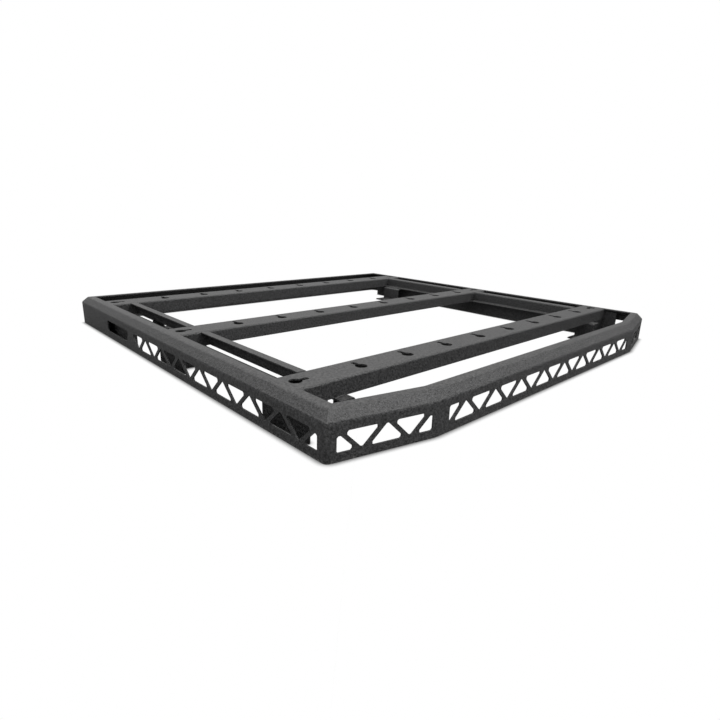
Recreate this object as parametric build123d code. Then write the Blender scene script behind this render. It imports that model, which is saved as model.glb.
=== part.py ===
"""Flat open roof rack of folded sheet: truss-cut rim, keyhole crossbars, tie rails, mount plates and feet.

Millimetres. +Z is up, +Y points to the rear of the rack and +X to its right.
The origin lies on the ground under the middle of the rack's outline.
"""
import os
from math import atan2, cos, hypot, pi, sin, tan

from build123d import *

# Overall outline
WIDTH = 1250.0           # over the two side walls
LENGTH = 1220.0          # from the front wall to the rear wall
HEIGHT = 80.0            # ground to the top of the rim
WING_SET_BACK = 43.0     # the front corners lie this far behind the front wall
WING_SPAN = 198.0        # width of each slanted wing, measured across the rack

# Rim section: a plain face, a slanted bend and a flat lip
SHEET = 3.0
FACE_HEIGHT = 62.0
SLANT_INWARD = 16.5
LIP_WIDTH = 16.0
RIM_BEND_RADIUS = 8.0    # outside radius of the rim's folds
CORNER_RADIUS = 10.0     # outside radius of the rim's upright corners
BEND_RADIUS = 5.0        # outside radius of every other fold
ROUND_FLATS = 2          # short flats that make up a rounded corner of a cut-out or a plate

# Truss cut-outs in the rim
CUT_LOW = 14.5
CUT_HIGH = 47.5
CUT_RIB = 11.0           # width of the sloping ribs, measured along the wall
CUT_ROUND = 4.5
FRONT_HALVES = 17        # half pitches between the two end cut-outs of the front wall
WING_HALVES = 4
REAR_HALVES = 25
SIDE_HALVES = 15
FRONT_START = 33.0       # corner to the middle of the first cut-out of the front wall
WING_START = 18.0
WING_END = 8.0           # middle of the last cut-out of a wing to the front wall
REAR_START = 50.0
SIDE_START = 20.0
SIDE_END = 63.0          # middle of the last cut-out of a side wall to the window

# Long window near the rear of each side wall
WINDOW_INSET = 235.0     # rear wall to the window
WINDOW_LENGTH = 160.0
WINDOW_LOW = 18.0
WINDOW_HIGH = 47.5
WINDOW_LEAN = 16.0       # its front edge leans by this much
WINDOW_ROUND = 6.0

# Crossbars: inverted channels from lip to lip
BAR_WIDTH = 72.0
BAR_DEPTH = 33.0
BAR_NAMES = ("front", "middle", "rear")
FRONT_BAR_INSET = 183.0  # front wall to the middle of the front crossbar
REAR_BAR_INSET = 155.0

# Keyholes along the top of each crossbar
KEY_RADIUS = 12.0
KEY_SLOT_WIDTH = 10.0
KEY_SLOT_ROUND = 4.0
KEY_REACH = 27.0         # round centre to the end of the slot
KEY_SET_BACK = 5.0       # the round centre lies this far in front of the bar's middle
KEY_COUNT = 8
KEY_FIRST_INSET = 194.0  # left side wall to the first keyhole of the row
KEY_LAST_INSET = 160.0   # right side wall to the last one
KEY_END_INSET = 49.0     # side wall to the round of the turned keyhole at each end

# Tie rails: folded strips of Z section between the crossbars
RAIL_INSET = 80.0        # side wall to the edge of the rail's top flange
RAIL_FLANGE = 20.5

# End brackets: channels inside the ends of the crossbars, each on a wider web beside the side wall
BRACKET_SHEET = 4.0
BRACKET_WEB = {"front": 72.0, "middle": 72.0, "rear": 227.0}   # bar's middle to the web's front end
BRACKET_WEB_BEHIND = 60.0                                      # and to its rear end
BRACKET_REACH = 55.0     # web to the ends of the bracket's flanges
BRACKET_LOW = 1.0        # ground to the bracket's lower edge

# Mount plates: upright plates under the crossbars, from the first to the last
MOUNT_SHEET = 4.0
MOUNT_INSET = 88.0       # side wall to the middle of the plate

# Feet: folded strips of Z section under the front crossbar and the rear tie rails
FOOT_SHEET = 4.0
FOOT_LENGTH = {"front": 55.0, "rear": 80.0}
FOOT_INSET = 137.0       # side wall to the foot's upright web
FOOT_TAB = 33.0          # top flange, outwards
FOOT_TOE = 45.0          # bottom flange, inwards
FOOT_SHIFT = {"front": -25.5, "rear": -90.0}   # from the middle of the crossbar of that name
FOOT_HOLE_RADIUS = 5.5

# Worked out from the sizes above
RIM_DEPTH = SLANT_INWARD + LIP_WIDTH
LIP_UNDERSIDE = HEIGHT - SHEET
BAR_BOTTOM = HEIGHT - BAR_DEPTH
BAR_TOP_HALF = WIDTH / 2 - RIM_DEPTH
BRACKET_OUTER = WIDTH / 2 - SLANT_INWARD - BEND_RADIUS
BRACKET_TOP = HEIGHT - BEND_RADIUS       # clear of the inside of the crossbar's folds
BAR_HALF = BRACKET_OUTER - BRACKET_SHEET
FRONT_CORNER_Y = WING_SET_BACK - LENGTH / 2
WINDOW_REAR = LENGTH / 2 - WINDOW_INSET
WINDOW_FRONT = WINDOW_REAR - WINDOW_LENGTH
BAR_PITCH = (LENGTH - FRONT_BAR_INSET - REAR_BAR_INSET) / (len(BAR_NAMES) - 1)
BAR_Y = {name: FRONT_BAR_INSET - LENGTH / 2 + i * BAR_PITCH for i, name in enumerate(BAR_NAMES)}
KEY_FIRST_X = KEY_FIRST_INSET - WIDTH / 2
KEY_PITCH = (WIDTH - KEY_FIRST_INSET - KEY_LAST_INSET) / (KEY_COUNT - 1)
RAIL_TOP_OUTER = WIDTH / 2 - RAIL_INSET
SIDES = {"left": -1, "right": 1}


def rim_corners():
    """Outer corners of the rim seen from above, going round anticlockwise from the rear left."""
    half_width, half_length = WIDTH / 2, LENGTH / 2
    left = [
        (-half_width, half_length),
        (-half_width, FRONT_CORNER_Y),
        (WING_SPAN - half_width, -half_length),
    ]
    return left + [(-x, y) for x, y in reversed(left)]


def offset_path(points, distance):
    """Corners of an open path moved to its right by a distance, with sharp corners."""
    units = []
    for a, b in zip(points, points[1:]):
        run = hypot(b[0] - a[0], b[1] - a[1])
        units.append(((b[0] - a[0]) / run, (b[1] - a[1]) / run))
    moved = []
    for i, (x, y) in enumerate(points):
        before = units[max(i - 1, 0)]
        after = units[min(i, len(units) - 1)]
        share = distance / (1 + before[0] * after[0] + before[1] * after[1])
        moved.append((x + share * (before[1] + after[1]), y - share * (before[0] + after[0])))
    return moved


def fold_radii(points, sheet, radius):
    """Radius of each fold along a path, and along the sheet's other face."""
    on_path, on_other = [], []
    for a, b, c in zip(points, points[1:], points[2:]):
        turn = (b[0] - a[0]) * (c[1] - b[1]) - (b[1] - a[1]) * (c[0] - b[0])
        inside = radius - abs(sheet)
        path_outside = turn * sheet < 0
        on_path.append(radius if path_outside else inside)
        on_other.append(inside if path_outside else radius)
    return on_path, on_other


def folded_section(points, sheet, radius=BEND_RADIUS):
    """Section of a sheet folded along a path, with the sheet on the path's right side (left if negative)."""
    on_path, on_other = fold_radii(points, sheet, radius)
    near = FilletPolyline(*points, radius=on_path)
    far = FilletPolyline(*offset_path(points, sheet), radius=on_other)
    ends = [Line(near @ 0, far @ 0), Line(near @ 1, far @ 1)]
    return make_face([*near.edges(), *far.edges(), *[end.edge() for end in ends]])


def rounded(points, radius):
    """Face with an outline whose corners are rounded by a few flats that touch a circle."""
    outline = []
    for i, (x, y) in enumerate(points):
        last_x, last_y = points[i - 1]
        next_x, next_y = points[(i + 1) % len(points)]
        heading = atan2(y - last_y, x - last_x)
        turn = (atan2(next_y - y, next_x - x) - heading + pi) % (2 * pi) - pi
        step = turn / (ROUND_FLATS + 1)
        flat = 2 * radius * tan(abs(step) / 2)
        back = radius * tan(abs(turn) / 2) - flat / 2
        x, y = x - back * cos(heading), y - back * sin(heading)
        outline.append((x, y))
        for k in range(1, ROUND_FLATS + 1):
            x, y = x + flat * cos(heading + k * step), y + flat * sin(heading + k * step)
            outline.append((x, y))
    return make_face(Polyline(*outline, close=True))


def triangle(centre, base, points_up, half=0):
    """Rounded truss cut-out at a place along a wall: whole, or only its half on one side (-1 or 1)."""
    low, tip = (CUT_LOW, CUT_HIGH) if points_up else (CUT_HIGH, CUT_LOW)
    start = centre - base / 2 if half <= 0 else centre
    end = centre + base / 2 if half >= 0 else centre
    return rounded([(start, low), (end, low), (centre, tip)], CUT_ROUND)


def truss(start, end, halves, first_up, half_at_end=True):
    """A row of cut-outs that point up and down by turns, with half a triangle at the start."""
    half_pitch = (end - start) / halves
    base = 2 * (half_pitch - CUT_RIB)
    cuts = Sketch() + triangle(start, base, first_up, half=1)
    for i in range(1, halves):
        cuts += triangle(start + i * half_pitch, base, first_up == (i % 2 == 0))
    last = -1 if half_at_end else 0
    return cuts + triangle(end, base, first_up == (halves % 2 == 0), half=last)


def window():
    """Long window of a side wall, drawn from the wall's front corner."""
    front, rear = WINDOW_FRONT - FRONT_CORNER_Y, WINDOW_REAR - FRONT_CORNER_Y
    corners = [
        (front + WINDOW_LEAN, WINDOW_LOW),
        (rear, WINDOW_LOW),
        (rear, WINDOW_HIGH),
        (front, WINDOW_HIGH),
    ]
    return rounded(corners, WINDOW_ROUND)


def rim_outline(inset=0.0):
    """Area inside the rim's outline, or inside its sheet, with rounded corners."""
    corners = rim_corners()
    moved = offset_path([corners[-1], *corners, corners[0]], -inset)[1:-1]
    area = make_face(Polyline(*moved, close=True))
    return fillet(area.vertices(), CORNER_RADIUS - inset)


def rim_wall(index, cuts=None, from_end=False):
    """One wall of the rim between two corners, mitred at both ends, with its cut-outs.

    The cut-outs are drawn along the wall from its first corner, or from its last one.
    """
    corners = rim_corners()
    count = len(corners)
    ring = [corners[(index + step) % count] for step in (-1, 0, 1, 2)]
    inner = offset_path(ring, -RIM_DEPTH)
    first, last = ring[1], ring[2]
    run = hypot(last[0] - first[0], last[1] - first[1])
    along = Vector((last[0] - first[0]) / run, (last[1] - first[1]) / run, 0)
    inward = Vector(-along.Y, along.X, 0)

    path = [(0, 0), (0, FACE_HEIGHT), (SLANT_INWARD, HEIGHT), (RIM_DEPTH, HEIGHT)]
    section_plane = Plane(origin=(*first, 0), x_dir=inward, z_dir=along)
    wall = extrude(section_plane * folded_section(path, SHEET, RIM_BEND_RADIUS), amount=run)
    plan = make_face(Polyline(first, last, inner[2], inner[1], close=True)) & rim_outline()
    wall = wall & extrude(plan, amount=HEIGHT)
    wall += extrude(plan - rim_outline(SHEET), amount=FACE_HEIGHT - RIM_BEND_RADIUS)
    if cuts is not None:
        start, direction = (last, -along) if from_end else (first, along)
        face_plane = Plane(origin=(*start, 0), x_dir=direction, z_dir=direction.cross(Vector(0, 0, 1)))
        wall -= extrude(face_plane * cuts, amount=2 * SHEET, both=True)
    return wall


def rim():
    """The six walls of the rim by name."""
    front_run = WIDTH - 2 * WING_SPAN
    wing_run = hypot(WING_SPAN, WING_SET_BACK)
    side_end = WINDOW_FRONT - FRONT_CORNER_Y - SIDE_END
    side = truss(SIDE_START, side_end, SIDE_HALVES, True, half_at_end=False) + window()
    wing = truss(WING_START, wing_run - WING_END, WING_HALVES, True)
    front = truss(FRONT_START, front_run - FRONT_START, FRONT_HALVES, False)
    rear = truss(REAR_START, WIDTH - REAR_START, REAR_HALVES, False)
    return {
        "left_side_wall": rim_wall(0, side, from_end=True),
        "left_front_wing": rim_wall(1, wing),
        "front_wall": rim_wall(2, front),
        "right_front_wing": rim_wall(3, wing, from_end=True),
        "right_side_wall": rim_wall(4, side),
        "rear_wall": rim_wall(5, rear),
    }


def keyhole(x, y, turn=0.0):
    """Keyhole with its round at a place and its slot to the rear, or turned from there."""
    half = KEY_SLOT_WIDTH / 2
    slot = rounded([(-half, 0), (half, 0), (half, KEY_REACH), (-half, KEY_REACH)], KEY_SLOT_ROUND)
    return Pos(x, y) * (Rot(0, 0, turn) * (Circle(KEY_RADIUS) + slot))


def crossbar(y):
    """Inverted channel whose top runs from lip to lip and whose flanges reach under the lips."""
    half = BAR_WIDTH / 2
    path = [(-half, BAR_BOTTOM), (-half, HEIGHT), (half, HEIGHT), (half, BAR_BOTTOM)]
    section_plane = Plane(origin=(-BAR_HALF, y, 0), x_dir=(0, 1, 0), z_dir=(1, 0, 0))
    bar = extrude(section_plane * folded_section(path, SHEET), amount=2 * BAR_HALF)

    cuts = Sketch()
    for i in range(KEY_COUNT):
        cuts += keyhole(KEY_FIRST_X + i * KEY_PITCH, y - KEY_SET_BACK)
    for side in SIDES.values():
        cuts += keyhole(side * (WIDTH / 2 - KEY_END_INSET), y, turn=90 * side)
    bar -= Pos(0, 0, HEIGHT) * extrude(cuts, amount=-2 * SHEET)

    for side in SIDES.values():
        lip_room = Box(RIM_DEPTH, BAR_WIDTH, SHEET, align=(Align.MIN, Align.CENTER, Align.MIN))
        if side < 0:
            lip_room = mirror(lip_room, about=Plane.YZ)
        bar -= Pos(side * BAR_TOP_HALF, y, LIP_UNDERSIDE) * lip_room
    return bar


def z_strip(side, xs, top, bottom, sheet, front_y, rear_y):
    """Folded strip of Z section along the rack: top flange outwards, bottom flange inwards.

    The three places across the rack are the top flange's edge, the web and the bottom flange's edge.
    """
    outer, web, inner = xs
    low = bottom + sheet
    path = [(outer, top), (web, top), (web, low), (inner, low)]
    section = folded_section([(side * x, z) for x, z in path], -side * sheet)
    plane = Plane(origin=(0, front_y, 0), x_dir=(1, 0, 0), z_dir=(0, -1, 0))
    return extrude(plane * section, amount=front_y - rear_y)


def tie_rail(side, front_y, rear_y):
    """Strip between two crossbars that is as deep as they are."""
    web = RAIL_TOP_OUTER - RAIL_FLANGE
    xs = (RAIL_TOP_OUTER, web, web - RAIL_FLANGE)
    return z_strip(side, xs, HEIGHT, BAR_BOTTOM, SHEET, front_y, rear_y)


def end_bracket(side, y, web_front):
    """Upright channel in a crossbar's end, open inwards, on a web that reaches down beside the side wall."""
    half = BAR_WIDTH / 2 - SHEET
    inner = BRACKET_OUTER - BRACKET_REACH
    path = [(inner, -half), (BRACKET_OUTER, -half), (BRACKET_OUTER, half), (inner, half)]
    section = folded_section([(side * x, v) for x, v in path], -side * BRACKET_SHEET)
    web_length = web_front + BRACKET_WEB_BEHIND
    web_middle = side * (BRACKET_OUTER - BRACKET_SHEET / 2), (BRACKET_WEB_BEHIND - web_front) / 2
    web = Pos(*web_middle) * Rectangle(BRACKET_SHEET, web_length)
    return extrude(Pos(0, y, BRACKET_LOW) * (section + web), amount=BRACKET_TOP - BRACKET_LOW)


def mount_plate(side):
    """Upright plate that carries the crossbars on the ground, flush with the outermost two."""
    front_y = min(BAR_Y.values()) - BAR_WIDTH / 2
    rear_y = max(BAR_Y.values()) + BAR_WIDTH / 2
    plate = Box(MOUNT_SHEET, rear_y - front_y, BAR_BOTTOM, align=(Align.CENTER, Align.MIN, Align.MIN))
    return Pos(side * (WIDTH / 2 - MOUNT_INSET), front_y, 0) * plate


def foot(side, y, length):
    """Strip from the underside of the frame to the ground, with a bolt hole in its toe."""
    web = WIDTH / 2 - FOOT_INSET
    xs = (web + FOOT_TAB, web, web - FOOT_TOE)
    strip = z_strip(side, xs, BAR_BOTTOM, 0, FOOT_SHEET, y - length / 2, y + length / 2)
    hole = extrude(Circle(FOOT_HOLE_RADIUS), amount=FOOT_SHEET)
    return strip - Pos(side * (web - FOOT_TOE / 2), y, 0) * hole


def rack():
    """Every piece of the rack by name."""
    pieces = rim()
    for name, y in BAR_Y.items():
        pieces[f"{name}_crossbar"] = crossbar(y)
        for side_name, side in SIDES.items():
            pieces[f"{name}_{side_name}_end_bracket"] = end_bracket(side, y, BRACKET_WEB[name])
    for side_name, side in SIDES.items():
        pieces[f"{side_name}_mount_plate"] = mount_plate(side)
    for name, shift in FOOT_SHIFT.items():
        for side_name, side in SIDES.items():
            pieces[f"{name}_{side_name}_foot"] = foot(side, BAR_Y[name] + shift, FOOT_LENGTH[name])
    spans = list(zip(("front", "rear"), zip(BAR_NAMES, BAR_NAMES[1:])))
    for span_name, (near, far) in spans:
        for side_name, side in SIDES.items():
            near_y = BAR_Y[near] + BAR_WIDTH / 2
            far_y = BAR_Y[far] - BAR_WIDTH / 2
            pieces[f"{span_name}_{side_name}_rail"] = tie_rail(side, near_y, far_y)
    return pieces


os.makedirs("parts", exist_ok=True)
for node, piece in rack().items():
    export_step(piece, f"parts/{node}.step")
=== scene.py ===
"""Looks of a flat open roof rack of folded, powder-coated sheet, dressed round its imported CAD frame.

Metres, in the frame of the CAD model: +Z is up, +X is the rack's right and +Y its rear.
"""
import logging
import math
from dataclasses import dataclass
from enum import Enum

import bmesh
import bpy
from mathutils import Matrix, Vector


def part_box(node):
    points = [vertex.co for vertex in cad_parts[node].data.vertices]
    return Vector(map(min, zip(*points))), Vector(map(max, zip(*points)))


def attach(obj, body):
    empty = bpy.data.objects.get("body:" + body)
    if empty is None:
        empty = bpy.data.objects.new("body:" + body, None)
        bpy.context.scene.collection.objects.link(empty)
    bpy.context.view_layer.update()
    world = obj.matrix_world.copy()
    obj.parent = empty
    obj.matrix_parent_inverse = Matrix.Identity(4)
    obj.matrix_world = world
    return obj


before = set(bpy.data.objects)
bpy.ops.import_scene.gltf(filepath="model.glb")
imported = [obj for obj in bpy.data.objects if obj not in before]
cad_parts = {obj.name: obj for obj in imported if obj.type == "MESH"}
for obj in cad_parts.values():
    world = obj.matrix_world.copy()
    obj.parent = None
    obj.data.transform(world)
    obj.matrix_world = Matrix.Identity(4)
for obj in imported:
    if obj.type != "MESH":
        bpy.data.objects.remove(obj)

LOG = logging.getLogger("roof_rack")
BODY = "root"
Tree = bpy.types.NodeTree
Socket = bpy.types.NodeSocket
SIDES: dict[str, int] = {"left": -1, "right": 1}
BARS: tuple[str, ...] = ("front", "middle", "rear")
BAYS: tuple[str, ...] = ("front", "rear")


class Slot(Enum):
    """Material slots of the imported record."""

    RACK = "rack_coat"
    FOOT = "foot_coat"


class GroupName(Enum):
    """Shader node groups that the finishes share."""

    GRAIN = "powder_grain"
    DUST_AND_GLINT = "dust_and_glint_film"
    SCUFF = "ground_scuff"


def new_group(name: GroupName, inputs: dict[str, float], outputs: dict[str, str]) -> Tree:
    """Makes an empty shader node group with its sockets.

    Args:
        name: The group's name.
        inputs: Float inputs with their default values.
        outputs: Outputs with their socket types.

    Returns:
        The group, with one input node and one output node in it.
    """
    group = bpy.data.node_groups.new(name.value, "ShaderNodeTree")
    for label, value in inputs.items():
        socket = group.interface.new_socket(name=label, in_out="INPUT", socket_type="NodeSocketFloat")
        socket.default_value = value
    for label, kind in outputs.items():
        group.interface.new_socket(name=label, in_out="OUTPUT", socket_type=kind)
    group.nodes.new("NodeGroupInput").name = "given"
    group.nodes.new("NodeGroupOutput").name = "result"
    return group


def math_node(tree: Tree, operation: str, *values: object, clamp: bool = False) -> Socket:
    """Adds a Math node whose operands are sockets or numbers.

    Args:
        tree: The node tree to add to.
        operation: The Math node's operation.
        values: Its operands, in order.
        clamp: Whether the result is kept between 0 and 1.

    Returns:
        The node's output socket.
    """
    node = tree.nodes.new("ShaderNodeMath")
    node.operation = operation
    node.use_clamp = clamp
    for socket, value in zip(node.inputs, values):
        if isinstance(value, Socket):
            tree.links.new(value, socket)
        else:
            socket.default_value = value
    return node.outputs[0]


@dataclass(frozen=True)
class Ramp:
    """A straight ramp, kept between 0 and 1."""

    gain: float
    offset: float

    def add(self, tree: Tree, value: Socket) -> Socket:
        """Adds the ramp to a tree and returns its result."""
        return math_node(tree, "MULTIPLY_ADD", value, self.gain, self.offset, clamp=True)


def noise_node(tree: Tree, scale: Socket, detail: float, rough: float) -> Socket:
    """Adds a noise over Object coordinates.

    Args:
        tree: The node tree to add to.
        scale: Noise scale per metre.
        detail: Octaves of the noise.
        rough: Weight of the finer octaves.

    Returns:
        The noise's value, about 0.5 on average.
    """
    place = tree.nodes.new("ShaderNodeTexCoord")
    noise = tree.nodes.new("ShaderNodeTexNoise")
    noise.inputs["Detail"].default_value = detail
    noise.inputs["Roughness"].default_value = rough
    tree.links.new(place.outputs["Object"], noise.inputs["Vector"])
    tree.links.new(scale, noise.inputs["Scale"])
    return noise.outputs["Fac"]


class SharedEffects:
    """Builds the node groups once and hands them to the finishes."""

    SPECKLE: Ramp = Ramp(7.0, -3.0)
    MOTTLE: Ramp = Ramp(4.0, -1.5)
    MOTTLE_HEIGHT: float = 2.2
    UPWARD: Ramp = Ramp(2.0, -0.9)
    PATCHES: Ramp = Ramp(2.4, -0.75)
    # The next two values make painted glints: sparse light specks in the grain of upward faces, standing
    # in for light caught from above.
    GLINT_FLECKS: Ramp = Ramp(6.0, -2.6)
    GLINT_SHARE: float = 0.75
    SPECKS: Ramp = Ramp(5.0, -2.7)

    def __init__(self) -> None:
        """Builds every group."""
        self.groups: dict[GroupName, Tree] = {
            GroupName.GRAIN: self._grain(),
            GroupName.DUST_AND_GLINT: self._dust_and_glints(),
            GroupName.SCUFF: self._scuff(),
        }

    def _grain(self) -> Tree:
        """Sandy grain of a textured coat: a fine speckle, a wider mottle and a height for the bump.

        Returns:
            The finished group.
        """
        group = new_group(
            GroupName.GRAIN,
            {"Grain Scale": 370.0, "Mottle Scale": 225.0},
            {"Speckle": "NodeSocketFloat", "Mottle": "NodeSocketFloat", "Height": "NodeSocketFloat"},
        )
        given, result = group.nodes["given"], group.nodes["result"]
        fine = noise_node(group, given.outputs["Grain Scale"], detail=3.0, rough=0.65)
        wide = noise_node(group, given.outputs["Mottle Scale"], detail=2.0, rough=0.5)
        height = math_node(group, "MULTIPLY_ADD", wide, self.MOTTLE_HEIGHT, fine)
        group.links.new(self.SPECKLE.add(group, fine), result.inputs["Speckle"])
        group.links.new(self.MOTTLE.add(group, wide), result.inputs["Mottle"])
        group.links.new(height, result.inputs["Height"])
        return group

    def _dust_and_glints(self) -> Tree:
        """Lightens what faces upwards: faint dust in patches, and sparse light flecks in the grain that
        are a painted glint of the light from above.

        Returns:
            The finished group.
        """
        group = new_group(
            GroupName.DUST_AND_GLINT,
            {"Patch Scale": 9.0, "Glint Scale": 160.0, "Strength": 0.2},
            {"Mask": "NodeSocketFloat"},
        )
        given, result = group.nodes["given"], group.nodes["result"]
        facing = group.nodes.new("ShaderNodeSeparateXYZ")
        surface = group.nodes.new("ShaderNodeNewGeometry")
        group.links.new(surface.outputs["Normal"], facing.inputs[0])
        upward = self.UPWARD.add(group, facing.outputs["Z"])
        cloud = noise_node(group, given.outputs["Patch Scale"], detail=4.0, rough=0.6)
        # Noise for the painted glints in the grain of upward faces.
        glint_noise = noise_node(group, given.outputs["Glint Scale"], detail=2.0, rough=0.5)
        patches = math_node(group, "MULTIPLY", self.PATCHES.add(group, cloud), 1 - self.GLINT_SHARE)
        glints = self.GLINT_FLECKS.add(group, glint_noise)
        dust_and_glint_mask = math_node(group, "MULTIPLY_ADD", glints, self.GLINT_SHARE, patches)
        mask = math_node(group, "MULTIPLY", upward, dust_and_glint_mask)
        mask = math_node(group, "MULTIPLY", mask, given.outputs["Strength"])
        group.links.new(mask, result.inputs["Mask"])
        return group

    def _scuff(self) -> Tree:
        """Rubbed specks along the lowest edge, where the rack is set down.

        Returns:
            The finished group.
        """
        group = new_group(
            GroupName.SCUFF, {"Reach": 0.007, "Speck Scale": 210.0}, {"Mask": "NodeSocketFloat"},
        )
        given, result = group.nodes["given"], group.nodes["result"]
        place = group.nodes.new("ShaderNodeTexCoord")
        height = group.nodes.new("ShaderNodeSeparateXYZ")
        group.links.new(place.outputs["Object"], height.inputs[0])
        fade = math_node(group, "DIVIDE", height.outputs["Z"], given.outputs["Reach"])
        low = math_node(group, "SUBTRACT", 1.0, fade, clamp=True)
        rubbed = noise_node(group, given.outputs["Speck Scale"], detail=3.0, rough=0.6)
        mask = math_node(group, "MULTIPLY", low, self.SPECKS.add(group, rubbed))
        group.links.new(mask, result.inputs["Mask"])
        return group

    def place(self, tree: Tree, name: GroupName, **values: float) -> bpy.types.ShaderNodeGroup:
        """Places a group in a material with its own values.

        Args:
            tree: The material's node tree.
            name: Which group.
            values: Input values, with underscores for the spaces in their labels.

        Returns:
            The group node.
        """
        node = tree.nodes.new("ShaderNodeGroup")
        node.node_tree = self.groups[name]
        for label, value in values.items():
            node.inputs[label.replace("_", " ")].default_value = value
        return node


@dataclass(frozen=True)
class PowderCoat:
    """Textured matt black powder coat on folded sheet."""

    name: str
    dark: tuple[float, float, float]
    light: tuple[float, float, float]
    # Colour laid on by dust patches, by the painted glints on upward faces and by scuffs.
    dust_glint_scuff: tuple[float, float, float] = (0.16, 0.155, 0.15)
    rough_low: float = 0.4
    rough_high: float = 0.56
    gloss: float = 0.36
    grain_scale: float = 370.0
    bump_height: float = 0.0007
    bump_strength: float = 0.85
    # Strength of the dust patches and painted glints on upward faces.
    dust_and_glint_strength: float = 0.2
    dust_glint_scuff_rough: float = 0.25
    mottle_share: float = 0.45
    ior: float = 1.5

    def build(self, effects: SharedEffects) -> bpy.types.Material:
        """Makes the material.

        Args:
            effects: The shared node groups.

        Returns:
            The finished material.
        """
        material = bpy.data.materials.new(self.name)
        material.use_nodes = True
        tree = material.node_tree
        shader = tree.nodes["Principled BSDF"]
        grain = effects.place(tree, GroupName.GRAIN, Grain_Scale=self.grain_scale)
        # Dust patches and painted glints on upward faces, which lighten the coat.
        dust_and_glints = effects.place(tree, GroupName.DUST_AND_GLINT, Strength=self.dust_and_glint_strength)
        scuff = effects.place(tree, GroupName.SCUFF)

        blend = math_node(tree, "MULTIPLY", grain.outputs["Mottle"], self.mottle_share)
        blend = math_node(tree, "MULTIPLY_ADD", grain.outputs["Speckle"], 1 - self.mottle_share, blend)
        coat = self._mix(tree, blend, self.dark, self.light)
        # Where dust, painted glints or scuffs lighten the coat; the coat is also rougher there.
        dust_glint_scuff_mask = math_node(tree, "MAXIMUM", dust_and_glints.outputs["Mask"], scuff.outputs["Mask"])
        tree.links.new(self._mix(tree, dust_glint_scuff_mask, coat, self.dust_glint_scuff), shader.inputs["Base Color"])

        spread = self.rough_high - self.rough_low
        rough = math_node(tree, "MULTIPLY_ADD", grain.outputs["Speckle"], spread, self.rough_low)
        rough = math_node(tree, "MULTIPLY_ADD", dust_glint_scuff_mask, self.dust_glint_scuff_rough, rough)
        tree.links.new(rough, shader.inputs["Roughness"])

        bump = tree.nodes.new("ShaderNodeBump")
        bump.inputs["Strength"].default_value = self.bump_strength
        bump.inputs["Distance"].default_value = self.bump_height
        tree.links.new(grain.outputs["Height"], bump.inputs["Height"])
        tree.links.new(bump.outputs["Normal"], shader.inputs["Normal"])
        shader.inputs["IOR"].default_value = self.ior
        shader.inputs["Specular IOR Level"].default_value = self.gloss
        return material

    @staticmethod
    def _mix(tree: Tree, factor: Socket, low: object, high: object) -> Socket:
        """Mixes two colours.

        Args:
            tree: The material's node tree.
            factor: Share of the second colour.
            low: First colour, a socket or a colour.
            high: Second colour, a socket or a colour.

        Returns:
            The mixed colour.
        """
        node = tree.nodes.new("ShaderNodeMix")
        node.data_type = "RGBA"
        tree.links.new(factor, node.inputs["Factor"])
        for socket, value in ((node.inputs[6], low), (node.inputs[7], high)):
            if isinstance(value, Socket):
                tree.links.new(value, socket)
            else:
                socket.default_value = (*value, 1.0)
        return node.outputs[2]


@dataclass(frozen=True)
class SoftEdges:
    """Rounding that the coat gives to the cut edges of the sheet."""

    width: float = 0.0007
    segments: int = 2
    sharpest_left: float = math.radians(50)
    merge: float = 1e-5

    def add(self, piece: bpy.types.Object) -> None:
        """Joins the loose triangles of a piece and rounds its edges with live modifiers.

        Args:
            piece: The piece.
        """
        weld = piece.modifiers.new("join_triangles", "WELD")
        weld.merge_threshold = self.merge
        bevel = piece.modifiers.new("coated_edges", "BEVEL")
        bevel.width = self.width
        bevel.segments = self.segments
        bevel.limit_method = "ANGLE"
        bevel.angle_limit = self.sharpest_left
        bevel.use_clamp_overlap = True


@dataclass(frozen=True)
class Finishes:
    """The two coats, and the edge rounding that both get."""

    rack: bpy.types.Material
    foot: bpy.types.Material
    edges: SoftEdges = SoftEdges()

    def dress(self, piece: bpy.types.Object, slot: Slot) -> None:
        """Gives a piece its coat.

        Args:
            piece: The piece.
            slot: The coat it gets.
        """
        material = self.rack if slot is Slot.RACK else self.foot
        piece.data.materials.clear()
        piece.data.materials.append(material)

    def dress_node(self, name: str, slot: Slot) -> None:
        """Gives a CAD node its coat and soft edges.

        Args:
            name: The node's name.
            slot: The coat it gets.
        """
        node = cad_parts[name]
        self.dress(node, slot)
        self.edges.add(node)
        LOG.info("dressed %s", name)


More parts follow.
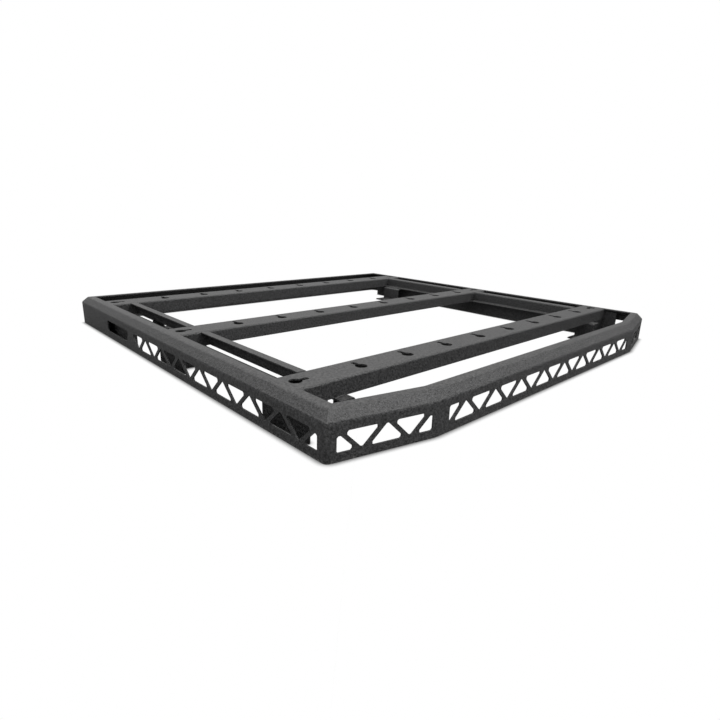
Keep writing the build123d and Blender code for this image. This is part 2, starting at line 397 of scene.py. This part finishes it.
@dataclass
class WeldBead:
    """A rippled run of weld along a corner."""

    start: Vector
    end: Vector
    radius: float = 0.0024
    ripple: float = 0.0021
    swell: float = 0.16
    wobble: float = 0.07
    wobble_pace: float = 5.3
    taper_rate: float = 4.0
    taper_least: float = 0.25
    sides: int = 10

    def add_to(self, mesh: bmesh.types.BMesh) -> None:
        """Spins the bead's rippled outline round the corner line and adds it to a mesh.

        Args:
            mesh: The mesh that collects the beads of one piece.
        """
        run = self.end - self.start
        count = max(3, round(run.length / self.ripple))
        outline = []
        for i in range(2 * count + 1):
            share = i / (2 * count)
            wave = self.swell if i % 2 else -self.swell
            crest = 1 + wave + self.wobble * math.sin(self.wobble_pace * i)
            taper = min(1.0, self.taper_rate * min(share, 1 - share) + self.taper_least)
            outline.append(mesh.verts.new((self.radius * crest * taper, 0, share * run.length)))
        edges = [mesh.edges.new(pair) for pair in zip(outline, outline[1:])]
        spun = bmesh.ops.spin(
            mesh, geom=outline + edges, cent=(0, 0, 0), axis=(0, 0, 1), dvec=(0, 0, 0),
            angle=math.tau, steps=self.sides, use_merge=True, use_duplicate=False,
        )
        verts = {v for v in spun["geom_last"] if isinstance(v, bmesh.types.BMVert)} | set(outline)
        grown = set(verts)
        while verts:
            verts = {e.other_vert(v) for v in verts if v.is_valid for e in v.link_edges} - grown
            grown |= verts
        grown = [v for v in grown if v.is_valid]
        rims = [e for e in mesh.edges if e.is_boundary and e.verts[0] in grown]
        bmesh.ops.holes_fill(mesh, edges=rims, sides=0)
        turn = Vector((0, 0, 1)).rotation_difference(run).to_matrix().to_4x4()
        bmesh.ops.transform(mesh, matrix=Matrix.Translation(self.start) @ turn, verts=grown)


def weld_piece(name: str, beads: list[WeldBead], finishes: Finishes, slot: Slot) -> bpy.types.Object:
    """Makes one piece of several weld beads.

    Args:
        name: The piece's name.
        beads: The beads in it.
        finishes: The coats.
        slot: The coat that covers the weld.

    Returns:
        The finished piece.
    """
    mesh = bmesh.new()
    for bead in beads:
        bead.add_to(mesh)
    bmesh.ops.recalc_face_normals(mesh, faces=mesh.faces)
    data = bpy.data.meshes.new(name)
    mesh.to_mesh(data)
    mesh.free()
    data.polygons.foreach_set("use_smooth", [True] * len(data.polygons))
    piece = bpy.data.objects.new(name, data)
    bpy.context.scene.collection.objects.link(piece)
    finishes.dress(piece, slot)
    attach(piece, BODY)
    LOG.info("built %s with %d beads", name, len(beads))
    return piece


@dataclass
class Rim:
    """The six mitred walls and the seams inside their corners."""

    walls: tuple[str, ...] = (
        "left_side_wall", "right_side_wall", "front_wall",
        "left_front_wing", "right_front_wing", "rear_wall",
    )
    sheet: float = 0.003
    rear_inset: tuple[float, float] = (0.0051, 0.0021)
    wing_inset: tuple[float, float] = (0.0045, 0.0018)
    seam_low: float = 0.004
    seam_high: float = 0.052

    def dress(self, finishes: Finishes) -> None:
        """Coats the walls."""
        for name in self.walls:
            finishes.dress_node(name, Slot.RACK)

    def weld(self, finishes: Finishes) -> None:
        """Runs a seam up the inside of every corner of the rim.

        Args:
            finishes: The coats.
        """
        side_low, side_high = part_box("right_side_wall")
        front_low, front_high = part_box("front_wall")
        corners = {
            "rear_corner": (side_high.x - self.rear_inset[0], side_high.y - self.rear_inset[1]),
            "wing_corner": (side_high.x - self.wing_inset[0], side_low.y + self.wing_inset[1]),
            "front_corner": (front_high.x, front_low.y + self.sheet),
        }
        for side, sign in SIDES.items():
            for corner, (x, y) in corners.items():
                foot, top = (Vector((sign * x, y, z)) for z in (self.seam_low, self.seam_high))
                seam = WeldBead(foot, top)
                weld_piece(f"{side}_{corner}_weld", [seam], finishes, Slot.RACK)


@dataclass
class Crossbars:
    """The three keyhole crossbars and the brackets in their ends."""

    sheet: float = 0.003
    bead: float = 0.0022
    inner_gap: float = 0.004
    outer_gap: float = 0.006

    def dress(self, finishes: Finishes) -> None:
        """Coats the crossbars and their end brackets.

        Args:
            finishes: The coats.
        """
        for bar in BARS:
            finishes.dress_node(f"{bar}_crossbar", Slot.RACK)
            for side in SIDES:
                finishes.dress_node(f"{bar}_{side}_end_bracket", Slot.FOOT)

    def weld(self, finishes: Finishes) -> None:
        """Runs a bead under each flange of a crossbar where a bracket passes it.

        Args:
            finishes: The coats.
        """
        for bar in BARS:
            bar_low, bar_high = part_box(f"{bar}_crossbar")
            for side, sign in SIDES.items():
                low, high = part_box(f"{bar}_{side}_end_bracket")
                inner = low.x if sign > 0 else high.x
                start = inner + sign * self.inner_gap
                end = sign * (bar_high.x - self.outer_gap)
                beads = [
                    WeldBead(Vector((start, y, bar_low.z)), Vector((end, y, bar_low.z)), self.bead)
                    for y in (bar_low.y + self.sheet, bar_high.y - self.sheet)
                ]
                weld_piece(f"{bar}_{side}_bracket_weld", beads, finishes, Slot.FOOT)


@dataclass
class TieRails:
    """The four Z-section rails and the welds that hold them to the crossbars."""

    sheet: float = 0.003
    fold: float = 0.005
    bead: float = 0.0024

    def dress(self, finishes: Finishes) -> None:
        """Coats the rails.

        Args:
            finishes: The coats.
        """
        for bay in BAYS:
            for side in SIDES:
                finishes.dress_node(f"{bay}_{side}_rail", Slot.RACK)

    def weld(self, finishes: Finishes) -> None:
        """Runs a bead up both faces of a rail's web at each end.

        Args:
            finishes: The coats.
        """
        for bay in BAYS:
            for side, sign in SIDES.items():
                low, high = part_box(f"{bay}_{side}_rail")
                middle = (low.x + high.x) / 2
                faces = (middle - sign * self.sheet / 2, middle + sign * self.sheet / 2)
                foot, top = low.z + self.fold, high.z - self.fold
                beads = [
                    WeldBead(Vector((x, y, foot)), Vector((x, y, top)), self.bead)
                    for y in (low.y, high.y)
                    for x in faces
                ]
                weld_piece(f"{bay}_{side}_rail_weld", beads, finishes, Slot.RACK)


@dataclass
class MountPlates:
    """The two long upright plates that the crossbars stand on."""

    sheet: float = 0.003
    bead: float = 0.0019
    run: float = 0.005

    def dress(self, finishes: Finishes) -> None:
        """Coats the plates."""
        for side in SIDES:
            finishes.dress_node(f"{side}_mount_plate", Slot.RACK)

    def weld(self, finishes: Finishes) -> None:
        """Tacks each flange of each crossbar to the plate's top edge, on both faces.

        Args:
            finishes: The coats.
        """
        for side in SIDES:
            low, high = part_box(f"{side}_mount_plate")
            beads: list[WeldBead] = []
            for bar in BARS:
                bar_low, bar_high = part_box(f"{bar}_crossbar")
                for y in (bar_low.y + self.sheet / 2, bar_high.y - self.sheet / 2):
                    start = max(y - self.run, low.y + self.bead)
                    end = min(y + self.run, high.y - self.bead)
                    beads += [
                        WeldBead(Vector((x, start, high.z)), Vector((x, end, high.z)), self.bead)
                        for x in (low.x, high.x)
                    ]
            weld_piece(f"{side}_mount_plate_weld", beads, finishes, Slot.RACK)


@dataclass
class Feet:
    """The four Z-section feet and the welds on their top tabs."""

    ends: tuple[str, ...] = ("front", "rear")
    fold: float = 0.006
    tab: float = 0.033
    edge_gap: float = 0.002
    bead: float = 0.002

    def dress(self, finishes: Finishes) -> None:
        """Coats the feet.

        Args:
            finishes: The coats.
        """
        for end in self.ends:
            for side in SIDES:
                finishes.dress_node(f"{end}_{side}_foot", Slot.FOOT)

    def weld(self, finishes: Finishes) -> None:
        """Runs a bead along each front tab under its crossbar and each rear tab under its rail.

        Args:
            finishes: The coats.
        """
        bar_low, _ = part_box("front_crossbar")
        for side, sign in SIDES.items():
            low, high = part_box(f"front_{side}_foot")
            outer = high.x if sign > 0 else low.x
            insets = (self.edge_gap, self.tab - self.fold)
            start, end = (Vector((outer - sign * inset, bar_low.y, high.z)) for inset in insets)
            seam = WeldBead(start, end, self.bead)
            weld_piece(f"front_{side}_foot_weld", [seam], finishes, Slot.FOOT)

            low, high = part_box(f"rear_{side}_foot")
            rail_low, rail_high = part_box(f"rear_{side}_rail")
            edge = rail_low.x if sign > 0 else rail_high.x
            start, end = (Vector((edge, y, high.z)) for y in (low.y + self.fold, high.y - self.fold))
            seam = WeldBead(start, end, self.bead)
            weld_piece(f"rear_{side}_foot_weld", [seam], finishes, Slot.FOOT)


@dataclass
class Studio:
    """Pale floor, soft light and the camera at the photograph's viewing angle."""

    camera_place: tuple[float, float, float] = (-1.03305, -1.06258, 0.35148)
    yaw: float = -0.7593
    pitch: float = -0.2904
    roll: float = 0.0306
    lens: float = 24.81
    sensor: float = 36.0
    floor_size: float = 60.0
    floor_bounce: tuple[float, float, float] = (0.16, 0.16, 0.16)
    shade_reach: float = 0.014
    shade_span: tuple[float, float] = (0.5, 0.95)
    shade_depth: float = 0.2
    gap_reach: float = 0.06
    gap_span: tuple[float, float] = (0.2, 0.44)
    gap_depth: float = 0.08
    light_low: float = 0.12
    light_high: float = 2.55
    key_toward: tuple[float, float, float] = (0.408, -0.542, 0.735)
    key_light: float = 19.5
    key_focus: float = 90.0
    far_dim: float = 0.75
    far_focus: float = 5.0

    def set_floor(self) -> None:
        """Lays a plain pale floor just under the rack."""
        mesh = bmesh.new()
        bmesh.ops.create_grid(mesh, x_segments=1, y_segments=1, size=self.floor_size / 2)
        data = bpy.data.meshes.new("studio_floor")
        mesh.to_mesh(data)
        mesh.free()
        floor = bpy.data.objects.new("studio_floor", data)
        bpy.context.scene.collection.objects.link(floor)
        material = bpy.data.materials.new("pale_floor")
        material.use_nodes = True
        tree = material.node_tree
        tree.nodes.remove(tree.nodes["Principled BSDF"])
        beside = self._shade(tree, self.shade_reach, self.shade_span, self.shade_depth)
        beneath = self._shade(tree, self.gap_reach, self.gap_span, self.gap_depth)
        seen = tree.nodes.new("ShaderNodeEmission")
        tree.links.new(math_node(tree, "MULTIPLY", beside, beneath), seen.inputs["Strength"])
        bounce = tree.nodes.new("ShaderNodeBsdfDiffuse")
        bounce.inputs["Color"].default_value = (*self.floor_bounce, 1.0)
        self._by_ray(tree, bounce.outputs[0], seen.outputs[0], tree.nodes["Material Output"])
        data.materials.append(material)

    @staticmethod
    def _shade(tree: Tree, reach: float, span: tuple[float, float], depth: float) -> Socket:
        """Shades the floor by what stands close to it.

        Args:
            tree: The floor's node tree.
            reach: How far off a piece still shades the floor.
            span: Share of open sky where the shade is full, and where it ends.
            depth: Brightness where the shade is full.

        Returns:
            The brightness, 1 where there is no shade.
        """
        near = tree.nodes.new("ShaderNodeAmbientOcclusion")
        near.inputs["Distance"].default_value = reach
        shade = tree.nodes.new("ShaderNodeMapRange")
        limits = {"From Min": span[0], "From Max": span[1], "To Min": depth, "To Max": 1.0}
        for label, value in limits.items():
            shade.inputs[label].default_value = value
        tree.links.new(near.outputs["AO"], shade.inputs["Value"])
        return shade.outputs["Result"]

    @staticmethod
    def _by_ray(tree: Tree, lit: Socket, seen: Socket, end: bpy.types.Node) -> None:
        """Lets the camera see one shader while the rack is lit by another.

        Args:
            tree: The floor's or the world's node tree.
            lit: What lights the rack.
            seen: What the camera sees.
            end: The tree's output node.
        """
        ray = tree.nodes.new("ShaderNodeLightPath")
        mix = tree.nodes.new("ShaderNodeMixShader")
        tree.links.new(ray.outputs["Is Camera Ray"], mix.inputs[0])
        tree.links.new(lit, mix.inputs[1])
        tree.links.new(seen, mix.inputs[2])
        tree.links.new(mix.outputs[0], end.inputs["Surface"])

    def set_light(self) -> None:
        """Surrounds the rack with soft light: a sky that grows upwards, a dimmer far side and a key."""
        world = bpy.data.worlds.new("soft_studio")
        world.use_nodes = True
        tree = world.node_tree
        seen = tree.nodes["Background"]
        seen.inputs["Color"].default_value = (1.0, 1.0, 1.0, 1.0)
        place = tree.nodes.new("ShaderNodeTexCoord")
        height = tree.nodes.new("ShaderNodeSeparateXYZ")
        tree.links.new(place.outputs["Generated"], height.inputs[0])
        reach = self.light_high - self.light_low
        sky = math_node(tree, "MULTIPLY_ADD", height.outputs["Z"], reach, self.light_low)
        far = math_node(tree, "MAXIMUM", height.outputs["X"], 0.0)
        far = math_node(tree, "POWER", far, self.far_focus)
        left = math_node(tree, "MULTIPLY_ADD", far, -self.far_dim, 1.0)
        strength = math_node(tree, "MULTIPLY", sky, left)
        toward = tree.nodes.new("ShaderNodeVectorMath")
        toward.operation = "DOT_PRODUCT"
        toward.inputs[1].default_value = self.key_toward
        tree.links.new(place.outputs["Generated"], toward.inputs[0])
        key = math_node(tree, "MAXIMUM", toward.outputs["Value"], 0.0)
        key = math_node(tree, "POWER", key, self.key_focus)
        strength = math_node(tree, "MULTIPLY_ADD", key, self.key_light, strength)
        lit = tree.nodes.new("ShaderNodeBackground")
        tree.links.new(strength, lit.inputs["Strength"])
        self._by_ray(tree, lit.outputs[0], seen.outputs[0], tree.nodes["World Output"])
        bpy.context.scene.world = world
        bpy.context.scene.view_settings.view_transform = "Standard"

    def set_camera(self) -> None:
        """Places the camera where the photograph was taken from."""
        level = math.cos(self.pitch)
        forward = Vector((-math.sin(self.yaw) * level, math.cos(self.yaw) * level, math.sin(self.pitch)))
        right = forward.cross(Vector((0, 0, 1))).normalized()
        up = right.cross(forward)
        across = right * math.cos(self.roll) + up * math.sin(self.roll)
        upward = up * math.cos(self.roll) - right * math.sin(self.roll)
        data = bpy.data.cameras.new("photo_camera")
        data.lens = self.lens
        data.sensor_width = self.sensor
        camera = bpy.data.objects.new("photo_camera", data)
        turn = Matrix((across, upward, -forward)).transposed().to_4x4()
        camera.matrix_world = Matrix.Translation(self.camera_place) @ turn
        bpy.context.scene.collection.objects.link(camera)
        bpy.context.scene.camera = camera


def main() -> None:
    """Dresses the rack, builds its welds and sets the studio."""
    logging.basicConfig(level=logging.INFO, format="%(name)s: %(message)s")
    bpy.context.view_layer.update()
    effects = SharedEffects()
    rack_coat = PowderCoat("black_powder_coat", dark=(0.015, 0.015, 0.0152), light=(0.068, 0.068, 0.069))
    # The foot coat is the rack coat made a little darker: painted shade for the feet and end brackets,
    # which stand in shadow under the crossbars.
    foot_coat = PowderCoat("shaded_foot_powder_coat", dark=(0.013, 0.013, 0.0132), light=(0.062, 0.062, 0.063))
    finishes = Finishes(rack=rack_coat.build(effects), foot=foot_coat.build(effects))
    for assembly in (Rim(), Crossbars(), TieRails(), MountPlates(), Feet()):
        assembly.dress(finishes)
        assembly.weld(finishes)
    studio = Studio()
    studio.set_floor()
    studio.set_light()
    studio.set_camera()


if __name__ == "__main__":
    main()
